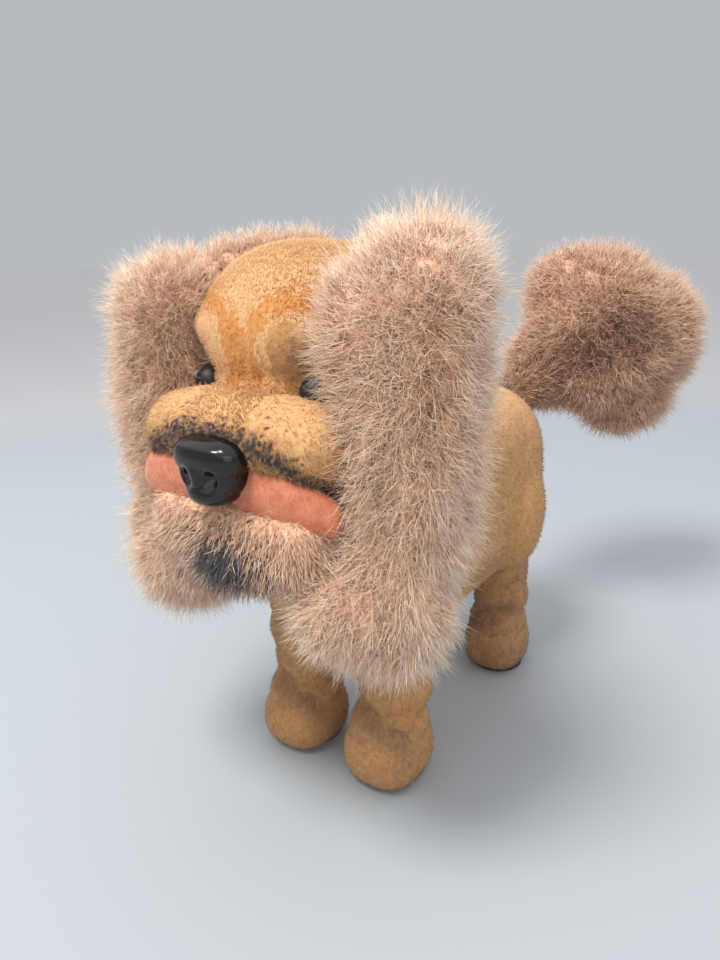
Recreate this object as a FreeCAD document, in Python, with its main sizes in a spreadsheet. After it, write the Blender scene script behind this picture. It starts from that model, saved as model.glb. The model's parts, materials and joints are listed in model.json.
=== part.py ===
import FreeCAD, Part
import Sketcher
import math
import os
import re

# A walking, barking plush puppy. It stands on four soles at z = 0, faces -Y, and its own left is +X.
# A narrow plastic housing holds two cells, a motor, a gear train, a crank axle and a small bellows.
# The legs swing on pins at the housing's sides, and the plush skin goes over everything.
SIZES = {
    # housing
    "wall": 1.4, "housing_half": 16.2, "housing_floor": 42.0, "housing_top": 87.0, "shoulder_top": 80.0,
    "housing_front": -53.0, "housing_rear": 28.0, "shoulder_y": -33.0, "boss_ring": 2.4, "boss_thick": 1.9,
    "screw_radius": 0.9, "screw_hole": 0.95, "screw_head": 1.7,
    # skin over the body
    "skin": 3.0, "body_half": 27.0, "body_front": -66.0, "body_rear": 38.0, "body_low": 38.0,
    "body_top": 98.0, "body_round": 17.0, "leg_gap_half": 17.0, "leg_gap_top": 50.0,
    "chin_gap_y": -56.0, "chin_gap_z": 62.0,
    # legs
    "hip_z": 58.0, "front_hip": -50.0, "rear_hip": 16.0, "leg_x": 15.0, "leg_radius": 11.0, "leg_top": 37.0,
    "core_radius": 6.5, "arm_in": 18.3, "arm_thick": 3.0, "arm_half": 4.0, "arm_rod": 8.0, "arm_slot": 16.0,
    "sole_thick": 2.0, "sole_radius": 8.5, "paw_x": 11.7, "paw_y": 13.0, "paw_z": 11.0, "paw_mid": 9.0,
    "pin_radius": 1.5, "pin_end": 21.6, "head_radius": 2.6, "head_thick": 0.8, "run": 0.05, "overlap": 0.2,
    "rod_pin": 1.2, "rod_in": 21.5, "rod_thick": 1.3, "rod_half": 2.6, "open_clear": 0.4,
    # drive
    "gear_module": 0.5, "drive_z": 74.0, "crank_throw": 2.8, "crank_disc": 5.0, "crank_thick": 1.2,
    "crank_pin": 1.0, "gear_pin": 1.0, "motor_radius": 10.0, "motor_flat": 7.5, "can_length": 20.5,
    "cap_length": 4.5, "can_end": 10.8, "plate_x": 3.0, "plate_thick": 1.6, "axle_spare": 0.4,
    "crank_gap": 0.2, "crank_pin_length": 0.5, "lead_low": 61.0, "lead_bend": 61.6,
    # power
    "cell_radius": 7.25, "cell_length": 50.5, "cell_x": 7.35, "cell_start": -44.0, "cell_z": 50.75,
    "door_half": 12.0, "door_front": -33.0, "door_rear": -1.0, "door_thick": 1.6, "door_low": 40.2,
    "clip_height": 1.5, "switch_half": 5.0, "switch_front": 12.5, "switch_long": 11.0, "switch_high": 6.0,
    "knob_half": 1.9, "knob_front": 15.6, "knob_long": 4.0, "knob_out": 3.0,
    # voice
    "bellows_y": -40.0, "bellows_radius": 7.5, "bellows_low": 64.0, "bellows_height": 8.0,
    # head
    "skull_y": -54.0, "skull_z": 114.0, "skull_rx": 30.0, "skull_ry": 28.0, "skull_rz": 29.5,
    "head_skin": 3.5, "shell": 1.6, "neck_y": -47.0, "neck_z": 104.0, "post_half": 5.0, "scoop": 6.5,
    "post_radius": 3.2, "neck_pin_half": 8.4, "yoke_thick": 2.4, "yoke_long": 17.4, "lug_thick": 2.6,
    "muzzle_y": -80.0, "muzzle_z": 100.0, "muzzle_rx": 27.0, "muzzle_ry": 14.0, "muzzle_rz": 13.0,
    "lip_z": 88.5, "nose_y": -93.0, "nose_z": 98.3, "nose_rx": 9.9, "nose_ry": 6.5, "nose_rz": 7.5,
    "eye_x": 15.9, "eye_y": -77.5, "eye_z": 113.1, "eye_radius": 3.3, "stem_radius": 1.2,
    "washer_radius": 2.8, "washer_thick": 0.6, "plate_high": 3.0, "knuckle": 2.0,
    "jaw_y": -66.0, "jaw_z": 86.4, "beard_y": -84.0, "beard_z": 80.5, "beard_rx": 21.0, "beard_ry": 13.0,
    "beard_rz": 10.5, "beard_top": 87.4,
    # ears
    "ear_in": 30.3, "ear_out": 50.0, "ear_front": -85.0, "ear_back": -60.0, "ear_low": 46.0,
    "ear_top": 146.0, "ear_round": 7.0,
    # tail
    "tail_y": 34.0, "tail_z": 79.0, "tail_wire": 1.5, "pom_x": 24.0, "pom_y": 69.5, "pom_z": 105.0,
    "pom_rx": 26.0, "pom_ry": 30.0, "pom_rz": 32.0, "clevis_reach": 6.5, "clevis_thick": 1.5,
}

# The housing screws' places in side view, and the stems of the two eyes and the nose.
SCREWS = ((-50.3, 76.0), (-50.3, 45.4), (24.9, 45.4), (-29.8, 83.8))
FACE_STEMS = (("eye_x", "eye_y", "eye_z"), ("-eye_x", "eye_y", "eye_z"), ("0", "nose_y", "nose_z"))
STEM_LENGTHS = {"eye_left": 11.8, "eye_right": 11.8, "nose": 27.2}

# Gear teeth: heights over and under the pitch circle, half widths of a tooth, and the cut's overshoot.
ADDENDUM = 0.42
DEDENDUM = 0.62
ROOT_HALF_TOOTH = 0.5332
TIP_HALF_TOOTH = 0.13
CUT_OVER = 0.3

# How a cylinder is turned to lie along each axis.
TURNS = {
    "x": (FreeCAD.Vector(0, 1, 0), 90),
    "y": (FreeCAD.Vector(1, 0, 0), -90),
    "z": (FreeCAD.Vector(0, 0, 1), 0),
}

doc = FreeCAD.newDocument("plush_puppy")
sheet = doc.addObject("Spreadsheet::Sheet", "dims")
for row, (word, number) in enumerate(SIZES.items(), start=1):
    sheet.set("A%d" % row, word)
    sheet.set("B%d" % row, str(number))
    sheet.setAlias("B%d" % row, word)
doc.recompute()

NODES = []


def size(word):
    """A driving dimension as a number."""
    return float(sheet.get(word))


def rule(text):
    """The expression with every driving dimension in it named in the sheet."""
    return re.sub(r"[a-z_]+", lambda found: "dims." + found[0] if found[0] in SIZES else found[0], str(text))


def bind(item, **rules):
    """Bind properties to expressions; an underscore pair stands for the dot in a property's name."""
    for name, text in rules.items():
        item.setExpression(name.replace("__", "."), rule(text))
    return item


def put(item, x=0, y=0, z=0):
    """Place an item at a point given as expressions."""
    return bind(item, Placement__Base__x=x, Placement__Base__y=y, Placement__Base__z=z)


def node(item, label):
    """Give a finished sub-part the name that its file takes."""
    item.Label = label
    NODES.append(item)
    return item


def box(low, lengths):
    item = doc.addObject("Part::Box", "block")
    bind(item, Length=lengths[0], Width=lengths[1], Height=lengths[2])
    return put(item, *low)


def rod(axis, start, radius, length):
    """A cylinder from a start point along +X, +Y or +Z."""
    item = doc.addObject("Part::Cylinder", "rod")
    item.Placement.Rotation = FreeCAD.Rotation(*TURNS[axis])
    bind(item, Radius=radius, Height=length)
    return put(item, *start)


def egg(centre, radii):
    """An ellipsoid with its own radius along each axis."""
    item = doc.addObject("Part::Ellipsoid", "egg")
    item.Angle1 = -90
    item.Angle2 = 90
    bind(item, Radius1=radii[2], Radius2=radii[0], Radius3=radii[1])
    return put(item, *centre)


def fuse(*items):
    item = doc.addObject("Part::MultiFuse", "joined")
    item.Shapes = list(items)
    item.Refine = True
    return item


def cut(base, *tools):
    for tool in tools:
        item = doc.addObject("Part::Cut", "trimmed")
        item.Base = base
        item.Tool = tool
        base = item
    return base


def common(first, second):
    item = doc.addObject("Part::Common", "shared")
    item.Base = first
    item.Tool = second
    return item


def rounded(item, radius, edges=None):
    """Every edge, or the ones that the test picks, rounded to one radius."""
    doc.recompute()
    chosen = [n for n, edge in enumerate(item.Shape.Edges, start=1) if edges is None or edges(edge)]
    result = doc.addObject("Part::Fillet", "rounded")
    result.Base = item
    result.Edges = [(n, radius, radius) for n in chosen]
    return result


def plane(body, role):
    return next(face for face in body.Origin.OriginFeatures if face.Role == role)


def sketch(body, role, offset=0):
    """A sketch on one of the body's own origin planes, moved along its normal by an expression."""
    item = body.newObject("Sketcher::SketchObject", "outline")
    item.AttachmentSupport = [(plane(body, role), "")]
    item.MapMode = "FlatFace"
    item.setExpression("AttachmentOffset.Base.z", rule(offset))
    return item


def add_circle(item, across, up, radius):
    """A circle whose radius and centre are constraints bound to the sheet."""
    circle = Part.Circle(FreeCAD.Vector(0, 0, 0), FreeCAD.Vector(0, 0, 1), 1)
    index = item.addGeometry(circle)
    item.addConstraint(Sketcher.Constraint("Radius", index, 1.0))
    item.setExpression("Constraints[%d]" % (item.ConstraintCount - 1), rule(radius))
    for kind, place in (("DistanceX", across), ("DistanceY", up)):
        item.addConstraint(Sketcher.Constraint(kind, -1, 1, index, 3, 1.0))
        item.setExpression("Constraints[%d]" % (item.ConstraintCount - 1), rule(place))


def add_loop(item, points):
    """A closed run of straight lines."""
    corners = [FreeCAD.Vector(across, up, 0) for across, up in points]
    for start, end in zip(corners, corners[1:] + corners[:1]):
        item.addGeometry(Part.LineSegment(start, end))


def pad(body, profile, length, reverse=False):
    item = body.newObject("PartDesign::Pad", "pad")
    item.Profile = profile
    item.Reversed = reverse
    bind(item, Length=length)
    body.Tip = item
    return item


def pocket(body, profile, length=None, reverse=False):
    item = body.newObject("PartDesign::Pocket", "pocket")
    item.Profile = profile
    item.Reversed = reverse
    if length is None:
        item.Type = "ThroughAll"
        item.Midplane = True
    else:
        bind(item, Length=length)
    body.Tip = item
    return item


def housing_outline(inset):
    """The housing's side view, moved in by a distance. It is higher over the motor and the gears."""
    front, rear = size("housing_front") + inset, size("housing_rear") - inset
    floor, top = size("housing_floor") + inset, size("housing_top") - inset
    step, shoulder = size("shoulder_y") + inset, size("shoulder_top") - inset
    return [(front, floor), (rear, floor), (rear, top), (step, top), (step, shoulder), (front, shoulder)]


def housing(side, label):
    """One half of the housing, split on the middle plane, with bosses for the leg pins."""
    body = doc.addObject("PartDesign::Body", "housing")
    away = side < 0
    outline = sketch(body, "YZ_Plane")
    add_loop(outline, housing_outline(0))
    pad(body, outline, "housing_half", reverse=away)
    hollow = sketch(body, "YZ_Plane")
    add_loop(hollow, housing_outline(size("wall")))
    pocket(body, hollow, "housing_half - wall", reverse=not away)
    bosses = sketch(body, "YZ_Plane", "%d * housing_half" % side)
    for hip in ("front_hip", "rear_hip"):
        add_circle(bosses, hip, "hip_z", "pin_radius + boss_ring")
    pad(body, bosses, "boss_thick", reverse=away)
    holes = sketch(body, "YZ_Plane")
    for hip in ("front_hip", "rear_hip"):
        add_circle(holes, hip, "hip_z", "pin_radius")
    add_circle(holes, "rear_hip", "drive_z", "pin_radius + run")
    for across, up in SCREWS:
        add_circle(holes, across, up, "screw_hole")
    pocket(body, holes)
    hatch = sketch(body, "XY_Plane", "housing_floor + wall")
    low_x, high_x = (-0.5, size("door_half") - 0.5) if side > 0 else (0.5 - size("door_half"), 0.5)
    front, rear = size("door_front") + 0.5, size("door_rear") - 0.5
    add_loop(hatch, [(low_x, front), (high_x, front), (high_x, rear), (low_x, rear)])
    pocket(body, hatch, "wall")
    slot = sketch(body, "XY_Plane", "housing_floor + wall")
    near, far = sorted((2.4 * side, -0.5 * side))
    add_loop(slot, [(near, 15.0), (far, 15.0), (far, 25.0), (near, 25.0)])
    pocket(body, slot, "wall")
    return node(body, label)


def gear_reach(teeth):
    """A gear's pitch radius."""
    return teeth * size("gear_module") / 2


def gear_wheel(body, teeth, start, thick, phase):
    """A straight-flanked spur wheel on the X axis: a disc, one tooth gap, and the gap repeated round it."""
    pitch = gear_reach(teeth)
    disc = sketch(body, "YZ_Plane", start)
    add_circle(disc, 0, 0, pitch + ADDENDUM)
    pad(body, disc, thick)
    half_step = math.pi / teeth
    narrow = half_step - ROOT_HALF_TOOTH / pitch
    wide = half_step - TIP_HALF_TOOTH / pitch
    root, tip = pitch - DEDENDUM, pitch + ADDENDUM + CUT_OVER
    middle = phase + half_step
    corners = ((root, middle - narrow), (tip, middle - wide), (tip, middle + wide), (root, middle + narrow))
    gap = sketch(body, "YZ_Plane", start)
    add_loop(gap, [(radius * math.cos(angle), radius * math.sin(angle)) for radius, angle in corners])
    notch = pocket(body, gap, thick, reverse=True)
    pattern = body.newObject("PartDesign::PolarPattern", "teeth")
    pattern.Originals = [notch]
    pattern.Axis = (axis_line(body, "X_Axis"), [""])
    pattern.Angle = 360
    pattern.Occurrences = teeth
    body.Tip = pattern
    return pattern


def axis_line(body, role):
    return next(line for line in body.Origin.OriginFeatures if line.Role == role)


def gear(label, wheels, bore, x, y):
    """A wheel or a compound of two, each (teeth, start, thickness, phase), on a bored hub along X."""
    body = doc.addObject("PartDesign::Body", "gear")
    for teeth, start, thick, phase in wheels:
        gear_wheel(body, teeth, start, thick, phase)
    hole = sketch(body, "YZ_Plane")
    add_circle(hole, 0, 0, bore)
    pocket(body, hole)
    put(body, x, y, "drive_z")
    return node(body, label)


def trains():
    """Pinion, two compound gears and the final gear, in one row behind the motor."""
    reach_a = gear_reach(36) + gear_reach(10)
    reach_b = gear_reach(40) + gear_reach(10)
    final_y = size("rear_hip")
    y_b = final_y - reach_b
    y_a = y_b - reach_a
    y_motor = y_a - reach_a
    return y_motor, y_a, y_b, final_y


MOTOR_Y, GEAR_A_Y, GEAR_B_Y, CRANK_Y = trains()


def drive():
    """The motor's shaft and pinion, the gears, and the crank axle with a crank disc outside each wall."""
    shaft_start = ("can_end - can_length - 0.5", MOTOR_Y, "drive_z")
    node(rod("x", shaft_start, "gear_pin", "can_length + 4.1"), "motor_shaft")
    gear("pinion", [(10, 0, 2.2, math.pi / 10)], "gear_pin", 11.5, MOTOR_Y)
    gear("gear_a", [(36, 2.9, 2.0, 0), (10, 0, 2.9, 0)], "gear_pin + run", 8.6, GEAR_A_Y)
    gear("gear_b", [(36, 2.7, 2.0, math.pi / 36), (10, 0, 2.7, 0)], "gear_pin + run", 5.9, GEAR_B_Y)
    gear("final_gear", [(40, 0, 2.2, math.pi / 40)], "pin_radius", 5.9, CRANK_Y)
    axle_start = ("-housing_half - axle_spare", "rear_hip", "drive_z")
    axle_length = "2 * housing_half + 2 * axle_spare"
    node(rod("x", axle_start, "pin_radius", axle_length), "crank_axle")
    for side, label in ((1, "crank_left"), (-1, "crank_right")):
        disc_x = "housing_half + crank_gap" if side > 0 else "-housing_half - crank_gap - crank_thick"
        pin_x = disc_x + (" + crank_thick - overlap" if side > 0 else " - crank_pin_length + overlap")
        disc = rod("x", (disc_x, "rear_hip", "drive_z"), "crank_disc", "crank_thick")
        pin_z = "drive_z + %d * crank_throw" % side
        pin = rod("x", (pin_x, "rear_hip", pin_z), "crank_pin", "crank_pin_length")
        bore = rod("x", axle_start, "pin_radius", axle_length)
        node(cut(fuse(disc, pin), bore), label)


def power():
    """Two cells side by side, their springs and strap, the motor and its leads, and the switch."""
    cells = []
    springs = []
    for side in (1, -1):
        x = "%d * cell_x" % side
        cells.append(rod("y", (x, "cell_start", "cell_z"), "cell_radius", "cell_length"))
        for turn in range(3):
            ring = doc.addObject("Part::Torus", "coil")
            ring.Placement.Rotation = FreeCAD.Rotation(FreeCAD.Vector(1, 0, 0), 90)
            bind(ring, Radius1=4.4 - 0.7 * turn, Radius2=0.4)
            springs.append(put(ring, x, "cell_start - %s" % (3.6 - 0.75 * turn), "cell_z"))
        springs.append(rod("y", (x, "cell_start - 4.2", "cell_z"), 5.0, 0.5))
    node(fuse(*cells), "aa_cells")
    node(fuse(*springs), "contact_springs")
    strap_y = "cell_start + cell_length + 0.1"
    node(box(("-12", strap_y, "cell_z - 4"), ("24", "0.5", "8")), "contact_strap")
    can_x = "can_end - can_length"
    cap_x = "can_end - can_length - cap_length"
    for label, start, length in (("motor_can", can_x, "can_length"), ("motor_cap", cap_x, "cap_length")):
        round_part = rod("x", (start, MOTOR_Y, "drive_z"), "motor_radius", length)
        flats = box((start, "%s - motor_flat" % MOTOR_Y, "drive_z - motor_radius"),
                    (length, "2 * motor_flat", "2 * motor_radius"))
        bore = rod("x", (can_x + " - 0.6", MOTOR_Y, "drive_z"), "gear_pin + run", "can_length + 1")
        node(cut(common(round_part, flats), bore), label)
    leads = []
    lead_x = cap_x + " + 1"
    for side in (1, -1):
        lead_y = MOTOR_Y + 2 * side
        leads.append(rod("z", (lead_x, lead_y, "lead_low"), 0.5, "drive_z - motor_radius - lead_low"))
        leads.append(rod("y", (lead_x, lead_y, "lead_bend"), 0.4, 14 - 4 * side))
    node(fuse(*leads), "motor_leads")
    node(box(("-switch_half", "switch_front", "housing_floor + wall + 1.6"),
             ("2 * switch_half", "switch_long", "switch_high")), "switch_body")
    stem = box(("-knob_half", "knob_front", "housing_floor - knob_out"),
               ("2 * knob_half", "knob_long", "wall + knob_out + 1.3"))
    foot = size("housing_floor") - size("knob_out") + 0.1
    node(rounded(stem, 0.5, lambda edge: edge.BoundBox.ZMax < foot), "switch_knob")


def frame():
    """The gear frame, the pins that it carries, the leg pins and the screws that close the housing."""
    body = doc.addObject("PartDesign::Body", "gear_frame")
    upright = sketch(body, "YZ_Plane", "plate_x")
    roof = size("housing_top") - size("wall")
    deck = size("cell_z") + size("cell_radius") + 0.4
    front, rear = GEAR_A_Y - 3.0, size("housing_rear") - size("wall")
    step_y, step_z = 12.0, 62.5
    add_loop(upright, [(front, deck + 1), (step_y, deck + 1), (step_y, step_z), (rear, step_z),
                       (rear, roof), (front, roof)])
    pad(body, upright, "plate_thick")
    floor = sketch(body, "XY_Plane", deck)
    side = size("housing_half") - size("wall")
    deck_front = -29.0
    add_loop(floor, [(-side, deck_front), (side, deck_front), (side, step_y), (-side, step_y)])
    pad(body, floor, "wall")
    bores = sketch(body, "YZ_Plane")
    add_circle(bores, "rear_hip", "drive_z", "pin_radius + run")
    add_circle(bores, GEAR_A_Y, "drive_z", "gear_pin")
    add_circle(bores, GEAR_B_Y, "drive_z", "gear_pin")
    pocket(body, bores)
    node(body, "gear_frame")
    pins = []
    for y in (GEAR_A_Y, GEAR_B_Y):
        pins.append(rod("x", ("plate_x", y, "drive_z"), "gear_pin", "housing_half - wall - plate_x"))
    node(fuse(*pins), "gear_pins")
    hips = []
    for hip in ("front_hip", "rear_hip"):
        hips.append(rod("x", ("-pin_end", hip, "hip_z"), "pin_radius", "2 * pin_end"))
        for head_x in ("pin_end - overlap", "-pin_end + overlap - head_thick"):
            hips.append(rod("x", (head_x, hip, "hip_z"), "head_radius", "head_thick"))
    node(fuse(*hips), "hip_pins")
    screws = []
    for across, up in SCREWS:
        screws.append(rod("x", ("-housing_half", across, up), "screw_radius", "2 * housing_half"))
        screws.append(rod("x", ("-housing_half - 0.9", across, up), "screw_head", 0.9))
    node(fuse(*screws), "housing_screws")


def voice():
    """The bellows that barks: a reed cup, the folding bellows, and the plate that presses it."""
    cup = rod("z", (0, "bellows_y", "bellows_low - 4"), "bellows_radius + 0.5", 4)
    throat = rod("z", (0, "bellows_y", "bellows_low - 3"), 2.0, 5)
    node(cut(cup, throat), "bellows_base")
    folds = []
    rims = ("bellows_radius - 1.5", "bellows_radius")
    for step in range(8):
        bottom, top = rims if step % 2 == 0 else rims[::-1]
        fold = doc.addObject("Part::Cone", "fold")
        bind(fold, Radius1=bottom, Radius2=top, Height="bellows_height / 8")
        folds.append(put(fold, 0, "bellows_y", "bellows_low + %d * bellows_height / 8" % step))
    node(fuse(*folds), "bellows")
    plate = rod("z", (0, "bellows_y", "bellows_low + bellows_height + 0.1"), "bellows_radius", 1.2)
    node(plate, "bellows_plate")


def loaf(inset):
    """The body's rounded block, moved in by an expression."""
    low = ["-body_half + " + inset, "body_front + " + inset, "body_low + " + inset]
    spans = ("2 * body_half", "body_rear - body_front", "body_top - body_low")
    lengths = [span + " - 2 * " + inset for span in spans]
    return rounded(box(low, lengths), size("body_round") - (size("skin") if inset == "skin" else 0))


def skull(grow):
    """The head's main form, made larger by an expression."""
    radii = ["%s + %s" % (word, grow) for word in ("skull_rx", "skull_ry", "skull_rz")]
    return egg((0, "skull_y", "skull_z"), radii)


def body_plush():
    """The stuffed skin: a hollow loaf with room for the legs, the head, the tail and the hatch."""
    tools = [loaf("skin"), skull("scoop")]
    for hip in ("front_hip", "rear_hip"):
        tools.append(box(("-body_half - 5", "%s - leg_gap_half" % hip, "body_low - 5"),
                         ("2 * body_half + 10", "2 * leg_gap_half", "leg_gap_top - body_low + 5")))
    tools.append(box(("-housing_half - 1.5", "door_front - 2", "body_low - 5"),
                     ("2 * housing_half + 3", "door_rear - door_front + 4", 12)))
    tools.append(box(("-10", "body_rear - 6", "tail_z - 9"), ("20", "10", "26")))
    tools.append(box(("-body_half", "body_front - 5", "chin_gap_z"),
                     ("2 * body_half", "chin_gap_y - body_front + 5", "30")))
    node(cut(loaf("0"), *tools), "body_plush")


def leg(side, hip, label):
    """A leg's plastic core with its arm, its rubber sole, and the plush sleeve round it."""
    x = "%d * leg_x" % side
    arm_x = "arm_in" if side > 0 else "-arm_in - arm_thick"
    rear = hip == "rear_hip"
    top = "arm_slot" if rear else "arm_rod"
    core = [rod("z", (x, hip, "sole_thick"), "core_radius", "leg_top - sole_thick + 1"),
            box((arm_x, "%s - arm_half" % hip, "leg_top"),
                ("arm_thick", "2 * arm_half", "hip_z - leg_top + %s" % top)),
            rod("x", (arm_x, hip, "hip_z + %s" % top), "arm_half", "arm_thick")]
    pin_x = "arm_in + arm_thick - overlap" if side > 0 else "-arm_in - arm_thick - rod_thick - 0.5"
    core.append(rod("x", (pin_x, hip, "hip_z + arm_rod"), "rod_pin", "rod_thick + 0.7"))
    tools = [rod("x", (arm_x + " - 1", hip, "hip_z"), "pin_radius + run", "arm_thick + 2")]
    if rear:
        half = size("crank_throw")
        tools.append(box((arm_x + " - 0.1", "%s - crank_pin - 0.15" % hip, "hip_z + arm_slot - %s" % half),
                         ("arm_thick / 2", "2 * crank_pin + 0.3", 2 * half)))
    node(cut(fuse(*core), *tools), label + "_core")
    node(rod("z", (x, hip, 0), "sole_radius", "sole_thick"), label + "_sole")
    shift = "0" if rear else "-2.5"
    paw = egg((x, "%s + %s" % (hip, shift), "paw_mid"), ("paw_x", "paw_y", "paw_z"))
    flat = box(("%s - 20" % x, "%s - 25" % hip, "-10"), (40, 50, "10 + sole_thick"))
    sleeve = rod("z", (x, hip, "paw_mid + 1"), "leg_radius", "leg_top - paw_mid - 1")
    bore = rod("z", (x, hip, 0), "core_radius", "leg_top + 5")
    node(cut(fuse(cut(paw, flat), sleeve), bore), label + "_plush")


def tie_rod(side, label):
    """A flat rod from the rear leg's arm to the front leg's; its front eye is wide, as an open pivot."""
    x = "rod_in" if side > 0 else "-rod_in - rod_thick"
    z = "hip_z + arm_rod"
    bar = box((x, "front_hip", "%s - rod_half" % z), ("rod_thick", "rear_hip - front_hip", "2 * rod_half"))
    ends = [rod("x", (x, hip, z), "rod_half", "rod_thick") for hip in ("front_hip", "rear_hip")]
    eyes = [rod("x", (x + " - 1", "rear_hip", z), "rod_pin + run", "rod_thick + 2"),
            rod("x", (x + " - 1", "front_hip", z), "rod_pin + open_clear", "rod_thick + 2")]
    node(cut(fuse(bar, *ends), *eyes), label)


def neck():
    """The post on the housing's shoulder and the pin that the head nods on."""
    y = "neck_y"
    post = fuse(box(("-post_half", y + " - post_radius", "shoulder_top"),
                    ("2 * post_half", "2 * post_radius", "neck_z - shoulder_top")),
                rod("x", ("-post_half", y, "neck_z"), "post_radius", "2 * post_half"))
    hole = rod("x", ("-10", y, "neck_z"), "pin_radius", 20)
    node(cut(post, hole), "neck_post")
    node(rod("x", ("-neck_pin_half", y, "neck_z"), "pin_radius", "2 * neck_pin_half"), "neck_pin")


def head():
    """Two shells with the neck yoke and the jaw lugs, the plush over them, and the face's hard pieces."""
    radii = ["%s - head_skin - 0.3" % word for word in ("skull_rx", "skull_ry", "skull_rz")]
    centre = (0, "skull_y", "skull_z")
    opening = box((-9.5, "neck_y - 13", 60), (19, 26, 38))
    shells = {}
    for label, front in (("head_shell_front", True), ("head_shell_rear", False)):
        hollow = cut(egg(centre, radii), egg(centre, [r + " - shell" for r in radii]), opening)
        side_y = "skull_y - 60" if front else "skull_y"
        half = box((-60, side_y, 40), (120, 60, 140))
        shells[label] = common(hollow, half)
    lugs = [box((x, "jaw_y - 3", "jaw_z - 3"), ("lug_thick", 6, 19)) for x in (13.7, -16.3)]
    pin_hole = rod("x", (-20, "jaw_y", "jaw_z"), "stem_radius", 40)
    bores = [rod("y", (x, y + " - 2", z), "stem_radius", 30) for x, y, z in FACE_STEMS]
    node(cut(fuse(shells["head_shell_front"], *lugs), pin_hole, *bores), "head_shell_front")
    yokes = [box((x, "neck_y - 4", "neck_z - 4"), ("yoke_thick", "yoke_long", 8)) for x in (5.3, -7.7)]
    swing = rod("x", (-10, "neck_y", "neck_z"), "pin_radius + run", 20)
    node(cut(fuse(shells["head_shell_rear"], *yokes), swing), "head_shell_rear")
    jaw_room = box((-30, "skull_y - 60", 70), (60, 56, "lip_z - 69"))
    lug_room = [box((x, "jaw_y - 3.2", "jaw_z - 4"), (3.0, 6.4, 20)) for x in (13.5, -16.5)]
    wide = box((-9.5, "neck_y - 15", 60), (19, 30, 38))
    inner = egg(centre, ["%s - head_skin" % word for word in ("skull_rx", "skull_ry", "skull_rz")])
    stems = [rod("y", (x, y + " - 2", z), "stem_radius", 30) for x, y, z in FACE_STEMS]
    sockets = [egg(("%d * eye_x" % side, "eye_y", "eye_z"), ["eye_radius"] * 3) for side in (1, -1)]
    node(cut(skull("0"), inner, wide, jaw_room, *lug_room, *stems, *sockets), "head_plush")
    muzzle = egg((0, "muzzle_y", "muzzle_z"), ("muzzle_rx", "muzzle_ry", "muzzle_rz"))
    under = box((-40, "muzzle_y - 30", 60), (80, 60, "lip_z - 60"))
    nose_room = egg((0, "nose_y", "nose_z"), ("nose_rx", "nose_ry", "nose_rz"))
    stem_room = rod("y", (0, "nose_y", "nose_z"), "stem_radius", 30)
    node(cut(muzzle, skull("0"), under, nose_room, stem_room, *sockets), "muzzle_plush")


def face():
    """The moulded nose and eyes on their stems, and the push washers that hold them inside the shell."""
    washers = []
    for (x, y, z), (label, length) in zip(FACE_STEMS, STEM_LENGTHS.items()):
        radii = ("nose_rx", "nose_ry", "nose_rz") if label == "nose" else ["eye_radius"] * 3
        stem = rod("y", (x, y, z), "stem_radius", length)
        node(fuse(egg((x, y, z), radii), stem), label)
        ring = rod("y", (x, "%s + %s" % (y, length - 1.2), z), "washer_radius", "washer_thick")
        hole = rod("y", (x, "%s + %s" % (y, length - 1.5), z), "stem_radius", 2)
        washers.append(cut(ring, hole))
    node(fuse(*washers), "face_washers")


def jaw():
    """The jaw's plate, the pin that it turns on, and the beard under it."""
    body = doc.addObject("PartDesign::Body", "jaw")
    flat = sketch(body, "XY_Plane", "beard_top - plate_high")
    add_loop(flat, [(13, -66), (13, -80), (9, -91), (-9, -91), (-13, -80), (-13, -66)])
    pad(body, flat, "plate_high")
    knuckle = sketch(body, "YZ_Plane", -13)
    add_circle(knuckle, "jaw_y", "jaw_z", "knuckle")
    pad(body, knuckle, 26)
    hole = sketch(body, "YZ_Plane")
    add_circle(hole, "jaw_y", "jaw_z", "stem_radius + run")
    pocket(body, hole)
    node(body, "jaw_plate")
    node(rod("x", (-16.5, "jaw_y", "jaw_z"), "stem_radius", 33), "jaw_pin")
    beard = egg((0, "beard_y", "beard_z"), ("beard_rx", "beard_ry", "beard_rz"))
    above = box((-30, "beard_y - 30", "beard_top"), (60, 60, 20))
    room = box((-13, -91, "beard_top - plate_high"), (26, 40, 10))
    throat = rod("x", (-13.2, "jaw_y", "jaw_z"), "knuckle", 26.4)
    node(cut(beard, above, room, throat), "jaw_plush")


def ear(side, label):
    """An ear's hanging slab."""
    x = "ear_in" if side > 0 else "-ear_out"
    block = box((x, "ear_front", "ear_low"),
                ("ear_out - ear_in", "ear_back - ear_front", "ear_top - ear_low"))
    node(rounded(block, size("ear_round")), label)


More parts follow.
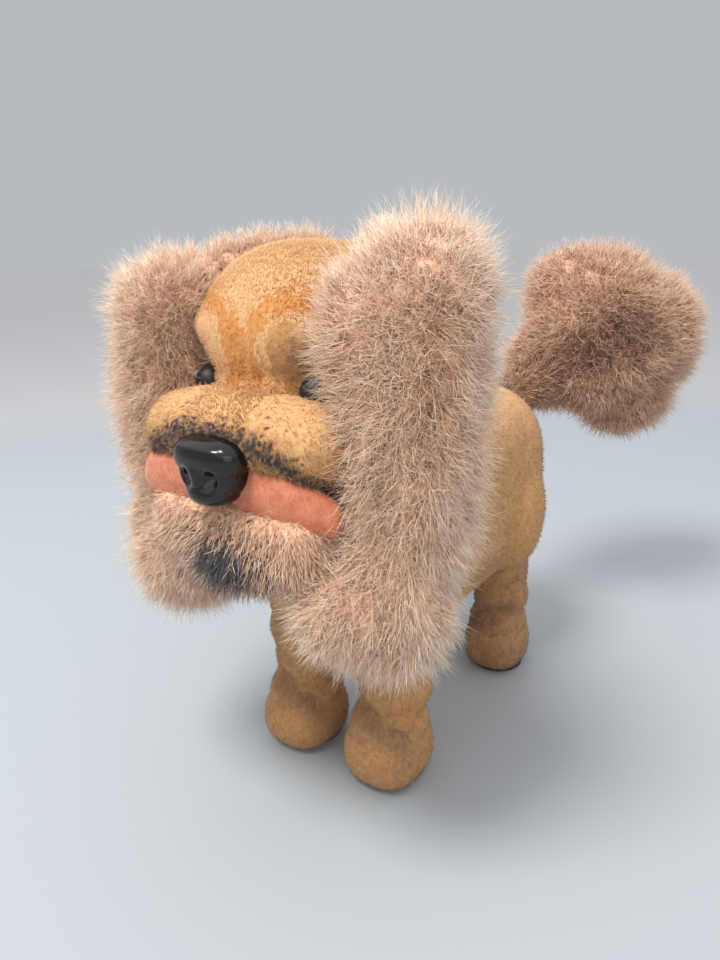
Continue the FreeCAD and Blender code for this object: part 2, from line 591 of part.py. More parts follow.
def tail():
    """The clevis behind the housing, its upright pin, and the stiff wire that ends in the pompom."""
    arms = []
    for z in ("tail_z - clevis_reach", "tail_z + clevis_reach"):
        arms.append(box((-4, "housing_rear", z), (8, "tail_y - housing_rear", "clevis_thick")))
        arms.append(rod("z", (0, "tail_y", z), "head_radius", "clevis_thick"))
    back = box((-4, "housing_rear", "tail_z - clevis_reach"),
               (8, "clevis_thick", "2 * clevis_reach + clevis_thick"))
    node(cut(fuse(back, *arms), rod("z", (0, "tail_y", "tail_z - 10"), "stem_radius", 24)), "tail_clevis")
    node(rod("z", (0, "tail_y", "tail_z - 7"), "stem_radius", 15.5), "tail_pin")
    hub = rod("z", (0, "tail_y", "tail_z - 4.8"), 2.5, 11)
    start = FreeCAD.Vector(0, size("tail_y"), size("tail_z"))
    end = FreeCAD.Vector(size("pom_x"), size("pom_y"), size("pom_z"))
    along = (end - start).normalize()
    wire = doc.addObject("Part::Cylinder", "wire")
    wire.Placement = FreeCAD.Placement(start + along, FreeCAD.Rotation(FreeCAD.Vector(0, 0, 1), along))
    bind(wire, Radius="tail_wire", Height=(end - start).Length - 1)
    bore = rod("z", (0, "tail_y", "tail_z - 10"), "stem_radius + run", 24)
    solid = node(cut(fuse(hub, wire), bore), "tail_wire")
    pom = egg(("pom_x", "pom_y", "pom_z"), ("pom_rx", "pom_ry", "pom_rz"))
    node(cut(pom, solid), "tail_pom")


def door():
    """The hatch under the cells: a plate with two clips that stand up inside."""
    body = doc.addObject("PartDesign::Body", "door")
    front, rear, half = size("door_front"), size("door_rear"), size("door_half")
    flat = sketch(body, "XY_Plane", "door_low")
    add_loop(flat, [(-half, front), (half, front), (half, rear), (-half, rear)])
    pad(body, flat, "door_thick")
    clips = sketch(body, "XY_Plane", "door_low + door_thick")
    for low, high in ((-half + 1.0, -half + 2.2), (half - 2.2, half - 1.0)):
        middle = (front + rear) / 2
        add_loop(clips, [(low, middle - 3), (high, middle - 3), (high, middle + 3), (low, middle + 3)])
    pad(body, clips, "clip_height")
    node(body, "battery_door")


housing(1, "housing_left")
housing(-1, "housing_right")
frame()
power()
drive()
voice()
neck()
head()
face()
jaw()
for toward, name in ((1, "left"), (-1, "right")):
    leg(toward, "front_hip", "front_" + name)
    leg(toward, "rear_hip", "hind_" + name)
    tie_rod(toward, "tie_rod_" + name)
    ear(toward, "ear_" + name)
tail()
door()
body_plush()

doc.recompute()
failed = [item.Label for item in doc.Objects if {"Invalid", "Error"} & set(item.State)]
failed += [item.Label for item in NODES if item.Shape.isNull() or not item.Shape.isValid()]
if failed:
    raise SystemExit("these did not build: " + ", ".join(failed))
os.makedirs("parts", exist_ok=True)
for item in NODES:
    item.Shape.exportStep("parts/%s.step" % item.Label)
print(len(NODES), "sub-parts written")
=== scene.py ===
"""A walking plush puppy: short camel pile over the body, long tousled pile on ears, beard and tail."""
import json
import math

import bpy
import numpy as np
from mathutils import Matrix, Vector


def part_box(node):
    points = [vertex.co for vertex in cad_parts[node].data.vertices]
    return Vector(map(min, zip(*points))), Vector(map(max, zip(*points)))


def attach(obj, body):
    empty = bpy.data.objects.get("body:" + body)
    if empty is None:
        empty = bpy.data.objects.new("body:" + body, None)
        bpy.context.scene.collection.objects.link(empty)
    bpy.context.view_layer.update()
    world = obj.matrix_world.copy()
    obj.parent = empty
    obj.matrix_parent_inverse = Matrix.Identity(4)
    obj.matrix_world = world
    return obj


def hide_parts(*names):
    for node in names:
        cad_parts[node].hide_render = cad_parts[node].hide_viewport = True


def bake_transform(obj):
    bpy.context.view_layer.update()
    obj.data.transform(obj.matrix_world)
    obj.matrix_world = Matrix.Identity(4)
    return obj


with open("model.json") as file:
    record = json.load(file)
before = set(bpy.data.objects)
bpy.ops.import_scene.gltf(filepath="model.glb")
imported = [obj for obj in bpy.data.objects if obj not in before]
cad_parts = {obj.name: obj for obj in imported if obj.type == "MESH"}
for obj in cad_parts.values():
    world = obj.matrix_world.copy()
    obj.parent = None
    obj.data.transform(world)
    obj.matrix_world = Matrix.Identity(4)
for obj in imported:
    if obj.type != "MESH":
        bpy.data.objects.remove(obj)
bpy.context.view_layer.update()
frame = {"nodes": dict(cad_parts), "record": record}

MM = 0.001
SIDES = (("left", 1), ("right", -1))
COLUMNS = 32                    # colour steps across a fibre palette
FLOOR_GAP = 0.3                 # no fibre comes nearer to the floor than this
DENSE, FULL = 19500, 12400      # the most fibres in one piece, of two rings each and of three
FELT_RELIEF = 0.0004
PLASTIC_RELIEF = 0.0002


# ---------------------------------------------------------------- materials

def new_material(name):
    """A node material, with its nodes and links."""
    material = bpy.data.materials.new(name)
    material.use_nodes = True
    return material, material.node_tree.nodes, material.node_tree.links


def ramp(nodes, stops):
    """A colour ramp with its (place, colour) stops."""
    node = nodes.new("ShaderNodeValToRGB")
    ends = node.color_ramp.elements
    while len(ends) < len(stops):
        ends.new(0.5)
    for end, (place, colour) in zip(ends, stops):
        end.position = place
        end.color = (*colour, 1.0)
    return node


def pile_material(name, roots, tips, roughness=0.75, sheen=0.25):
    """Fibre colour from the strand's own map: across is the palette, up is from root to tip."""
    material, nodes, links = new_material(name)
    shader = nodes["Principled BSDF"]
    shader.inputs["Roughness"].default_value = roughness
    shader.inputs["Sheen Weight"].default_value = sheen
    shader.inputs["Sheen Roughness"].default_value = 0.5
    place = nodes.new("ShaderNodeUVMap")
    place.uv_map = "OFBake"
    split = nodes.new("ShaderNodeSeparateXYZ")
    links.new(place.outputs["UV"], split.inputs[0])
    low, high = ramp(nodes, roots), ramp(nodes, tips)
    blend = nodes.new("ShaderNodeMix")
    blend.data_type = "RGBA"
    links.new(split.outputs["X"], low.inputs["Fac"])
    links.new(split.outputs["X"], high.inputs["Fac"])
    links.new(split.outputs["Y"], blend.inputs[0])
    links.new(low.outputs["Color"], blend.inputs[6])
    links.new(high.outputs["Color"], blend.inputs[7])
    links.new(blend.outputs[2], shader.inputs["Base Color"])
    return material


def cloth_material(name, colours, scale=900.0, bump=0.15, roughness=0.9):
    """Backing cloth or felt: mottled colour and a fine nap."""
    material, nodes, links = new_material(name)
    shader = nodes["Principled BSDF"]
    shader.inputs["Roughness"].default_value = roughness
    shader.inputs["Sheen Weight"].default_value = 0.3
    where = nodes.new("ShaderNodeTexCoord")
    mottle = nodes.new("ShaderNodeTexNoise")
    mottle.inputs["Scale"].default_value = scale / 6
    mottle.inputs["Detail"].default_value = 6.0
    nap = nodes.new("ShaderNodeTexNoise")
    nap.inputs["Scale"].default_value = scale
    nap.inputs["Detail"].default_value = 4.0
    tone = ramp(nodes, [(0.3, colours[0]), (0.7, colours[1])])
    relief = nodes.new("ShaderNodeBump")
    relief.inputs["Strength"].default_value = bump
    relief.inputs["Distance"].default_value = FELT_RELIEF
    links.new(where.outputs["Object"], mottle.inputs["Vector"])
    links.new(where.outputs["Object"], nap.inputs["Vector"])
    links.new(mottle.outputs["Fac"], tone.inputs["Fac"])
    links.new(tone.outputs["Color"], shader.inputs["Base Color"])
    links.new(nap.outputs["Fac"], relief.inputs["Height"])
    links.new(relief.outputs["Normal"], shader.inputs["Normal"])
    return material


def painted_cloth(name, roots, tips, share, scale=1400.0):
    """The backing under a pile. The skin's own tone picks its colour from the pile's palette."""
    material, nodes, links = new_material(name)
    shader = nodes["Principled BSDF"]
    shader.inputs["Roughness"].default_value = 0.9
    shader.inputs["Sheen Weight"].default_value = 0.08
    tone = nodes.new("ShaderNodeAttribute")
    tone.attribute_name = "tone"
    where = nodes.new("ShaderNodeTexCoord")
    nap = nodes.new("ShaderNodeTexNoise")
    nap.inputs["Scale"].default_value = scale
    nap.inputs["Detail"].default_value = 5.0
    mottling = 0.22
    shift = nodes.new("ShaderNodeMath")
    shift.operation = "MULTIPLY_ADD"
    shift.inputs[1].default_value = mottling
    place = nodes.new("ShaderNodeMath")
    place.operation = "ADD"
    place.inputs[1].default_value = -mottling / 2
    mixed = []
    for (at, root), (_, tip) in zip(roots, tips):
        mixed.append((at, tuple(low * (1 - share) + high * share for low, high in zip(root, tip))))
    dye = ramp(nodes, mixed)
    relief = nodes.new("ShaderNodeBump")
    relief.inputs["Strength"].default_value = 0.4
    relief.inputs["Distance"].default_value = FELT_RELIEF
    links.new(where.outputs["Object"], nap.inputs["Vector"])
    links.new(nap.outputs["Fac"], shift.inputs[0])
    links.new(tone.outputs["Fac"], shift.inputs[2])
    links.new(shift.outputs["Value"], place.inputs[0])
    links.new(place.outputs["Value"], dye.inputs["Fac"])
    links.new(dye.outputs["Color"], shader.inputs["Base Color"])
    links.new(nap.outputs["Fac"], relief.inputs["Height"])
    links.new(relief.outputs["Normal"], shader.inputs["Normal"])
    return material


def hard_material(name, colours, roughness, metallic=0.0, coat=0.0, scale=400.0, bump=0.05):
    """Moulded plastic, rubber or metal: slight mottling, and wear in the roughness."""
    material, nodes, links = new_material(name)
    shader = nodes["Principled BSDF"]
    shader.inputs["Metallic"].default_value = metallic
    shader.inputs["Coat Weight"].default_value = coat
    shader.inputs["Coat Roughness"].default_value = 0.08
    where = nodes.new("ShaderNodeTexCoord")
    mottle = nodes.new("ShaderNodeTexNoise")
    mottle.inputs["Scale"].default_value = scale
    mottle.inputs["Detail"].default_value = 5.0
    tone = ramp(nodes, [(0.35, colours[0]), (0.65, colours[1])])
    wear = nodes.new("ShaderNodeMapRange")
    wear.inputs["To Min"].default_value = roughness * 0.8
    wear.inputs["To Max"].default_value = min(1.0, roughness * 1.25)
    relief = nodes.new("ShaderNodeBump")
    relief.inputs["Strength"].default_value = bump
    relief.inputs["Distance"].default_value = PLASTIC_RELIEF
    links.new(where.outputs["Object"], mottle.inputs["Vector"])
    links.new(mottle.outputs["Fac"], tone.inputs["Fac"])
    links.new(mottle.outputs["Fac"], wear.inputs["Value"])
    links.new(mottle.outputs["Fac"], relief.inputs["Height"])
    links.new(tone.outputs["Color"], shader.inputs["Base Color"])
    links.new(wear.outputs["Result"], shader.inputs["Roughness"])
    links.new(relief.outputs["Normal"], shader.inputs["Normal"])
    return material


# Places in the short palette: black, soot, dark brown, brown, tan, light tan, then from 0.8 to orange.
SHORT_ROOTS = [(0.0, (0.008, 0.007, 0.008)), (0.12, (0.016, 0.013, 0.013)), (0.24, (0.09, 0.045, 0.025)),
               (0.40, (0.23, 0.11, 0.050)), (0.54, (0.38, 0.18, 0.064)), (0.68, (0.50, 0.27, 0.118)),
               (0.80, (0.53, 0.295, 0.135)), (1.0, (0.42, 0.135, 0.016))]
SHORT_TIPS = [(0.0, (0.02, 0.019, 0.022)), (0.12, (0.06, 0.052, 0.054)), (0.24, (0.24, 0.135, 0.08)),
              (0.40, (0.42, 0.23, 0.11)), (0.54, (0.59, 0.315, 0.115)), (0.68, (0.73, 0.44, 0.21)),
              (0.80, (0.77, 0.48, 0.245)), (1.0, (0.60, 0.23, 0.035))]
# Places in the long palette: black, soot, dark brown, mauve-beige, pale.
LONG_ROOTS = [(0.0, (0.008, 0.008, 0.010)), (0.2, (0.03, 0.024, 0.027)), (0.4, (0.26, 0.11, 0.055)),
              (0.7, (0.84, 0.48, 0.30)), (1.0, (0.94, 0.66, 0.48))]
LONG_TIPS = [(0.0, (0.028, 0.027, 0.034)), (0.2, (0.13, 0.115, 0.13)), (0.4, (0.68, 0.36, 0.21)),
             (0.7, (1.0, 0.77, 0.56)), (1.0, (1.0, 0.94, 0.84))]
SHORT_PILE = pile_material("short_pile", SHORT_ROOTS, SHORT_TIPS, sheen=0.08)
LONG_PILE = pile_material("long_pile_fibre", LONG_ROOTS, LONG_TIPS, roughness=0.42, sheen=0.3)
FELT_NAP = pile_material(
    "felt_nap",
    roots=[(0.0, (0.52, 0.13, 0.05)), (1.0, (0.66, 0.23, 0.12))],
    tips=[(0.0, (0.66, 0.20, 0.10)), (1.0, (0.82, 0.38, 0.23))],
    roughness=0.85, sheen=0.1,
)
TAN_CLOTH = painted_cloth("tan_cloth", SHORT_ROOTS, SHORT_TIPS, 0.55)
MAUVE_CLOTH = painted_cloth("mauve_cloth", LONG_ROOTS, LONG_TIPS, 0.12)
SALMON_FELT = cloth_material("salmon_felt", ((0.56, 0.15, 0.065), (0.70, 0.26, 0.14)),
                             scale=2200, bump=0.5)
BLACK_GLOSS = hard_material("black_gloss", ((0.003, 0.003, 0.0035), (0.006, 0.006, 0.007)), 0.13)
EYE_BLACK = hard_material("eye_black", ((0.004, 0.004, 0.005), (0.010, 0.010, 0.011)), 0.5)
HARD = {
    "sole_rubber": hard_material("sole_rubber_grain", ((0.03, 0.02, 0.018), (0.06, 0.045, 0.04)), 0.85,
                                 bump=0.3),
    "steel": hard_material("bright_steel", ((0.5, 0.5, 0.5), (0.65, 0.65, 0.66)), 0.32, metallic=1.0),
    "gear_nylon": hard_material("nylon", ((0.72, 0.70, 0.60), (0.82, 0.80, 0.72)), 0.45),
    "cell_jacket": hard_material("cell_lacquer", ((0.03, 0.08, 0.22), (0.05, 0.12, 0.3)), 0.35, coat=0.2),
    "bellows_rubber": hard_material("bellows_skin", ((0.38, 0.08, 0.05), (0.5, 0.13, 0.08)), 0.7),
    "lead_insulation": hard_material("lead_red", ((0.5, 0.03, 0.03), (0.62, 0.05, 0.04)), 0.5),
    "dark_plastic": hard_material("dark_moulding", ((0.02, 0.02, 0.02), (0.04, 0.04, 0.04)), 0.5),
    "housing_plastic": hard_material("cream_moulding", ((0.62, 0.55, 0.42), (0.72, 0.66, 0.53)), 0.5),
    "black_plastic": BLACK_GLOSS,
    "tan_plush": TAN_CLOTH,
    "long_pile": MAUVE_CLOTH,
}


# ---------------------------------------------------------------- mesh building

def add_object(name, mesh, material):
    """A mesh as an object of one material."""
    mesh.materials.clear()
    mesh.materials.append(material)
    item = bpy.data.objects.new(name, mesh)
    bpy.context.scene.collection.objects.link(item)
    return item


def sphere_points(rings=24, turns=36):
    """A unit sphere's vertices and faces."""
    points, faces = [(0.0, 0.0, -1.0)], []
    for ring in range(1, rings):
        rise = math.pi * (ring / rings - 0.5)
        for turn in range(turns):
            angle = 2 * math.pi * turn / turns
            across, deep = math.cos(rise) * math.cos(angle), math.cos(rise) * math.sin(angle)
            points.append((across, deep, math.sin(rise)))
    points.append((0.0, 0.0, 1.0))
    top = len(points) - 1
    for turn in range(turns):
        after = (turn + 1) % turns
        faces.append((0, 1 + after, 1 + turn))
        faces.append((top, top - turns + turn, top - turns + after))
        for ring in range(rings - 2):
            low = 1 + ring * turns
            faces.append((low + turn, low + after, low + turns + after, low + turns + turn))
    return np.array(points), faces


UNIT_POINTS, UNIT_FACES = sphere_points()


def lump(centre, radii, power=2.0):
    """An ellipsoid in millimetres, boxier as its power rises."""
    shape = UNIT_POINTS / (np.abs(UNIT_POINTS) ** power).sum(axis=1)[:, None] ** (1 / power)
    return shape * np.array(radii) + np.array(centre)


def moulded(name, lumps, voxel, smooth, material, dents=()):
    """Lumps fused into one skin by voxels, smoothed, with dents pressed in; in metres."""
    points = np.concatenate(lumps) * MM
    faces = []
    for i in range(len(lumps)):
        start = i * len(UNIT_POINTS)
        faces += [tuple(start + corner for corner in face) for face in UNIT_FACES]
    mesh = bpy.data.meshes.new(name)
    mesh.from_pydata(points.tolist(), [], faces)
    item = add_object(name, mesh, material)
    remesh = item.modifiers.new("fuse", "REMESH")
    remesh.mode = "VOXEL"
    remesh.voxel_size = voxel * MM
    relax = item.modifiers.new("relax", "SMOOTH")
    relax.iterations = smooth
    relax.factor = 0.5
    settle(item)
    if dents:
        place = points_of(item)
        for press in dents:
            place = press(place)
        set_points(item, place)
    item.data.shade_smooth()
    return item


def settle(item):
    """Apply every modifier."""
    graph = bpy.context.evaluated_depsgraph_get()
    mesh = bpy.data.meshes.new_from_object(item.evaluated_get(graph))
    item.modifiers.clear()
    item.data = mesh


def points_of(item):
    """An object's vertices in millimetres."""
    place = np.zeros(len(item.data.vertices) * 3)
    item.data.vertices.foreach_get("co", place)
    return place.reshape(-1, 3) / MM


def set_points(item, place):
    """Move an object's vertices to places in millimetres."""
    item.data.vertices.foreach_set("co", (place * MM).ravel())
    item.data.update()


def off_line(place, start, end):
    """How far each place is from the straight line between start and end."""
    a, b = np.array(start, float), np.array(end, float)
    along = np.clip(((place - a) @ (b - a)) / ((b - a) @ (b - a)), 0, 1)
    return np.linalg.norm(place - (a + along[:, None] * (b - a)), axis=1)


def groove(start, end, width, depth):
    """A dent that presses the skin inwards, near the line from start to end."""
    def press(place):
        push = depth * np.exp(-(off_line(place, start, end) / width) ** 2)
        middle = place.mean(axis=0)
        inward = middle - place
        inward /= np.linalg.norm(inward, axis=1)[:, None] + 1e-9
        return place + inward * push[:, None]

    return press


# ---------------------------------------------------------------- pile

def surface_samples(item, count, rng, density=None):
    """Random roots on a mesh with their normals, in millimetres, thinned by a density from 0 to 1."""
    mesh = item.data
    mesh.calc_loop_triangles()
    corners = np.zeros(len(mesh.loop_triangles) * 3, dtype=np.int32)
    mesh.loop_triangles.foreach_get("vertices", corners)
    corners = corners.reshape(-1, 3)
    place = points_of(item)
    normals = np.zeros(len(mesh.vertices) * 3)
    mesh.vertices.foreach_get("normal", normals)
    normals = normals.reshape(-1, 3)
    a, b, c = (place[corners[:, k]] for k in range(3))
    area = np.linalg.norm(np.cross(b - a, c - a), axis=1)
    if density is not None:
        area = area * np.clip(density((a + b + c) / 3), 0, 1)
    pick = rng.choice(len(area), size=count, p=area / area.sum())
    s, t = rng.random(count), rng.random(count)
    over = s + t > 1
    s[over], t[over] = 1 - s[over], 1 - t[over]
    weights = np.stack([1 - s - t, s, t], axis=1)
    roots = np.einsum("nk,nkd->nd", weights, place[corners[pick]])
    up = np.einsum("nk,nkd->nd", weights, normals[corners[pick]])
    return roots, unit(up)


def unit(arrows):
    """Rows scaled to length 1."""
    return arrows / (np.linalg.norm(arrows, axis=1)[:, None] + 1e-9)


def grow(name, skin, count, length, thick, comb, scatter, shade, material, seed, bend=0.0,
         steps=(0.0, 0.45, 0.8), density=None, clump=0.0, lift=1.0):
    """Closed tapered fibres as one mesh. length, comb and shade are functions of root place and normal."""
    sink = 0.4    # how deep a root sits in the skin
    rng = np.random.default_rng(seed)
    roots, up = surface_samples(skin, count, rng, density)
    reach = length(roots, up) * rng.uniform(0.75, 1.15, count)
    flow = comb(roots, up)
    lean = unit(lift * up + flow + scatter * rng.normal(size=(count, 3)))
    if clump > 0:    # fibres whose roots share a cell lean the same way
        cell = np.floor(roots / clump).astype(np.int64)
        key = (cell[:, 0] * 73856093) ^ (cell[:, 1] * 19349663) ^ (cell[:, 2] * 83492791)
        table = rng.normal(size=(997, 3))
        lean = unit(lean + 0.45 * scatter * table[np.abs(key) % 997] * 1.6)
    curl = bend * rng.normal(size=(count, 3)) + 0.6 * flow
    reach /= np.maximum(np.linalg.norm(lean + curl, axis=1), 0.7)
    roots = roots - up * sink
    side = unit(np.cross(lean, rng.normal(size=(count, 3))))
    other = np.cross(lean, side)
    layers = len(steps)
    ring = 3 * layers + 1
    place = np.zeros((count, ring, 3))
    for k, t in enumerate(steps):
        middle = roots + (lean * t + curl * t * t) * reach[:, None]
        wide = thick * (1 - t) ** 0.6
        for corner in range(3):
            angle = 2 * math.pi * corner / 3
            place[:, 3 * k + corner] = middle + wide * (math.cos(angle) * side + math.sin(angle) * other)
    place[:, ring - 1] = roots + (lean + curl) * reach[:, None]
    place[:, :, 2] = np.maximum(place[:, :, 2], FLOOR_GAP)
    template, heights, spans = [], [], []
    for k in range(layers - 1):
        for corner in range(3):
            a, b = 3 * k + corner, 3 * k + (corner + 1) % 3
            template += [(a, b, b + 3), (a, b + 3, a + 3)]
            low, high = steps[k], steps[k + 1]
            heights += [(low, low, high), (low, high, high)]
            spans += [(0, 1, 1), (0, 1, 0)]
    last = 3 * (layers - 1)
    for corner in range(3):
        template.append((last + corner, last + (corner + 1) % 3, ring - 1))
        heights.append((steps[-1], steps[-1], 1.0))
        spans.append((0, 1, 0.5))
    template.append((2, 1, 0))
    heights.append((0, 0, 0))
    spans.append((0, 1, 0.5))
    template, heights, spans = np.array(template), np.array(heights, float), np.array(spans, float)
    faces = (template[None] + (np.arange(count) * ring)[:, None, None]).reshape(-1, 3)
    mesh = bpy.data.meshes.new(name)
    mesh.vertices.add(count * ring)
    mesh.vertices.foreach_set("co", (place * MM).ravel())
    mesh.loops.add(len(faces) * 3)
    mesh.loops.foreach_set("vertex_index", faces.ravel().astype(np.int32))
    mesh.polygons.add(len(faces))
    mesh.polygons.foreach_set("loop_start", np.arange(len(faces), dtype=np.int32) * 3)
    column = np.clip(np.floor(np.clip(shade(roots, up, rng), 0, 0.999) * COLUMNS), 0, COLUMNS - 1)
    across = (column[:, None, None] + 0.1 + 0.8 * spans[None]) / COLUMNS
    rise = np.broadcast_to(0.02 + 0.96 * heights[None], across.shape)
    layer = mesh.uv_layers.new(name="OFBake")
    layer.data.foreach_set("uv", np.stack([across, rise], axis=-1).astype(np.float32).ravel())
    mesh.update(calc_edges=True)
    mesh.shade_smooth()
    return add_object(name, mesh, material)


def jitter(level, spread):
    """A palette place that is the same everywhere, give or take a spread."""
    return lambda roots, up, rng: level + spread * rng.normal(size=len(roots))


def steady(value):
    """The same length everywhere."""
    return lambda roots, up: np.full(len(roots), float(value))


def towards(x, y, z):
    """The same combing direction everywhere."""
    return lambda roots, up: np.broadcast_to(np.array([x, y, z], float), roots.shape)


def near(place, centre, radius):
    """1 at a point, falling smoothly to 0 round it."""
    off = (place - np.array(centre, float)) / np.array(radius, float)
    return np.exp(-(off ** 2).sum(axis=1))


# ---------------------------------------------------------------- places, from the CAD frame

def corners(*nodes):
    """The lowest and highest corner of some CAD nodes together, in millimetres."""
    boxes = [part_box(node) for node in nodes]
    low = np.min([np.array(low) for low, high in boxes], axis=0) / MM
    high = np.max([np.array(high) for low, high in boxes], axis=0) / MM
    return low, high


def middle(*nodes):
    """The middle of some CAD nodes' box."""
    low, high = corners(*nodes)
    return (low + high) / 2


def offset(point, x, y, z):
    """A point moved by x, y and z."""
    return np.array(point, float) + np.array((x, y, z), float)


TRUNK_LOW, TRUNK_HIGH = corners("body_plush")
TRUNK = middle("body_plush")
HOUSING_LOW, HOUSING_HIGH = corners("housing_left", "housing_right")
HOUSING = middle("housing_left", "housing_right")
HEAD_LOW, HEAD_HIGH = corners("head_plush")
SKULL_RADII = np.array((HEAD_HIGH[0], (HEAD_HIGH[1] - HEAD_LOW[1]) / 2, 29.5))
SKULL = np.array((0, (HEAD_LOW[1] + HEAD_HIGH[1]) / 2, HEAD_HIGH[2] - SKULL_RADII[2]))
EYES = {side: offset(middle(f"eye_{side}"), 0, -4.2, 0) for side, way in SIDES}
NOSE_LOW, NOSE_HIGH = corners("nose")
MUZZLE_HALF = corners("muzzle_plush")[1][0]
MUZZLE = middle("muzzle_plush")
JAW = middle("jaw_plush")
DOOR_LOW, DOOR_HIGH = corners("battery_door")
KNOB = middle("switch_knob")
TAIL_ROOT = middle("tail_clevis")
POM = middle("tail_pom")
LEGS = [f"{place}_{side}" for place in ("front", "hind") for side, way in SIDES]


def soft(piece, body, slot, fill, *nodes):
    """A stuffed piece: what it rides on, its finish, which is not used, and the CAD solids that it stands
    for.
    """
    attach(piece, body)
    if nodes:
        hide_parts(*nodes)
    return piece


def dye(skin, shade):
    """Give a skin the tone of the pile that grows on it."""
    place = points_of(skin)
    normals = np.zeros(place.size)
    skin.data.vertices.foreach_get("normal", normals)
    tone = shade(place, normals.reshape(-1, 3), np.random.default_rng(7))
    layer = skin.data.attributes.get("tone") or skin.data.attributes.new("tone", "FLOAT", "POINT")
    layer.data.foreach_set("value", np.clip(tone, 0, 1).astype(np.float32))


def pile(name, skin, body, slot, count, **looks):
    """A pile grown on a skin dyed to match, which rides with it."""
    dye(skin, looks["shade"])
    hair = grow(name, skin, count, **looks)
    if body:
        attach(hair, body)
    return hair


def chain(points, radii, steps=5):
    """Lumps along a path, their radii running from one list entry to the next."""
    lumps = []
    for k in range(len(points) - 1):
        for step in range(steps):
            t = step / (steps - 1)
            centre = np.array(points[k], float) * (1 - t) + np.array(points[k + 1], float) * t
            size = np.array(radii[k], float) * (1 - t) + np.array(radii[k + 1], float) * t
            lumps.append(lump(centre, np.broadcast_to(size, 3)))
    return lumps


def keep_clear(centre, radii):
    """A dent that pushes the skin out of an ellipsoid."""
    core, size = np.array(centre, float), np.array(radii, float)

    def press(place):
        reach = np.linalg.norm((place - core) / size, axis=1)
        grown = np.where(reach < 1, 1 / np.maximum(reach, 0.2), 1.0)
        return core + (place - core) * grown[:, None]

    return press


def hollow(centre, radius, depth, toward):
    """A round dent pressed along a direction."""
    way = np.array(toward, float) / np.linalg.norm(toward)

    def press(place):
        return place + way * (depth * near(place, centre, [radius] * 3))[:, None]

    return press


def flat_below(height):
    """A dent that flattens the underside at a height."""
    def press(place):
        place = place.copy()
        place[:, 2] = np.maximum(place[:, 2], height)
        return place

    return press


# ---------------------------------------------------------------- trunk

# The jaw's back end swings here when the head nods, so trunk and neck stay out of it.
JAW_ROOM = (0, corners("jaw_plate")[1][1] - 8, corners("jaw_plate")[0][2] - 0.5)
JAW_ROOM_RADII = np.array((24.0, 13.0, 8.5))


def body_skin():
    """The camel plush over the walker, open under the belly round the door and the switch."""
    half = (TRUNK_HIGH - TRUNK_LOW) / 2
    lumps = [
        lump(TRUNK, half * (0.97, 0.97, 1.0), power=3.4),
        lump(HOUSING, (HOUSING_HIGH - HOUSING_LOW) / 2 + (3.0, 5.0, 4.6), power=8),
        lump((0, TRUNK_LOW[1] + 20, TRUNK[2] - 3), (24.5, 20.5, 24), power=2.6),
        lump((0, TRUNK_HIGH[1] - 22, TRUNK[2] + 1), (26, 22.5, 28), power=2.6),
    ]
    for side, way in SIDES:
        front, hind = middle(f"front_{side}_sole"), middle(f"hind_{side}_sole")
        lumps.append(lump((front[0], front[1], 57), (11.8, 13.5, 20)))
        lumps.append(lump((hind[0] + 1.3 * way, hind[1], 57), (12.3, 16.7, 22)))
    seams = [groove((0, -30, TRUNK_HIGH[2]), (0, TRUNK_HIGH[1] - 12, TRUNK_HIGH[2]), 1.5, 1.0),
             groove((0, TRUNK_HIGH[1], TRUNK_HIGH[2] - 12), (0, TRUNK_HIGH[1], 52), 1.5, 0.9)]
    room = [keep_clear(SKULL, SKULL_RADII + 3), keep_clear(JAW_ROOM, JAW_ROOM_RADII)]
    skin = moulded("body_skin", lumps, 1.1, 9, TAN_CLOTH, dents=room + seams)
    for low, high in opening_boxes():
        cut_box(skin, low, high)
    skin.data.shade_smooth()
    return soft(skin, "root", "tan_plush", 0.8, "body_plush")


def opening_boxes():
    """The battery bay and the switch hole, cut up into the housing's floor."""
    wall = HOUSING_LOW[2] + 0.9
    bay_x = HOUSING_HIGH[0] - 3.0
    yield ((-bay_x, DOOR_LOW[1] - 1.6, 30), (bay_x, DOOR_HIGH[1] + 1.6, wall))
    yield ((-5.5, KNOB[1] - 5, 30), (5.5, KNOB[1] + 7, wall))


def cut_box(item, low, high):
    """Cut a box out of an object."""
    points = np.array([(x, y, z) for x in (low[0], high[0]) for y in (low[1], high[1])
                       for z in (low[2], high[2])], float)
    faces = [(0, 1, 3, 2), (4, 6, 7, 5), (0, 4, 5, 1), (2, 3, 7, 6), (0, 2, 6, 4), (1, 5, 7, 3)]
    mesh = bpy.data.meshes.new("cutter")
    mesh.from_pydata((points * MM).tolist(), [], faces)
    cutter = bpy.data.objects.new("cutter", mesh)
    bpy.context.scene.collection.objects.link(cutter)
    carve = item.modifiers.new("opening", "BOOLEAN")
    carve.operation = "DIFFERENCE"
    carve.object = cutter
    carve.solver = "EXACT"
    settle(item)
    bpy.data.objects.remove(cutter)
    bpy.data.meshes.remove(mesh)


def off_openings(place):
    """No pile in or right beside the belly's openings."""
    inside = np.zeros(len(place), bool)
    for low, high in opening_boxes():
        near_x = np.abs(place[:, 0]) < high[0] + 0.6
        near_y = (place[:, 1] > low[1] - 0.6) & (place[:, 1] < high[1] + 0.6)
        inside |= near_x & near_y & (place[:, 2] < HOUSING_LOW[2] + 6)
    return np.where(inside, 0.0, 1.0)


def open_air(place):
    """No pile where the head and the jaw move over the trunk."""
    skull = np.linalg.norm((place - SKULL) / (SKULL_RADII + 2), axis=1)
    jaw = np.linalg.norm((place - JAW_ROOM) / (JAW_ROOM_RADII + 2), axis=1)
    return off_openings(place) * np.where(np.minimum(skull, jaw) < 1.0, 0.0, 1.0)


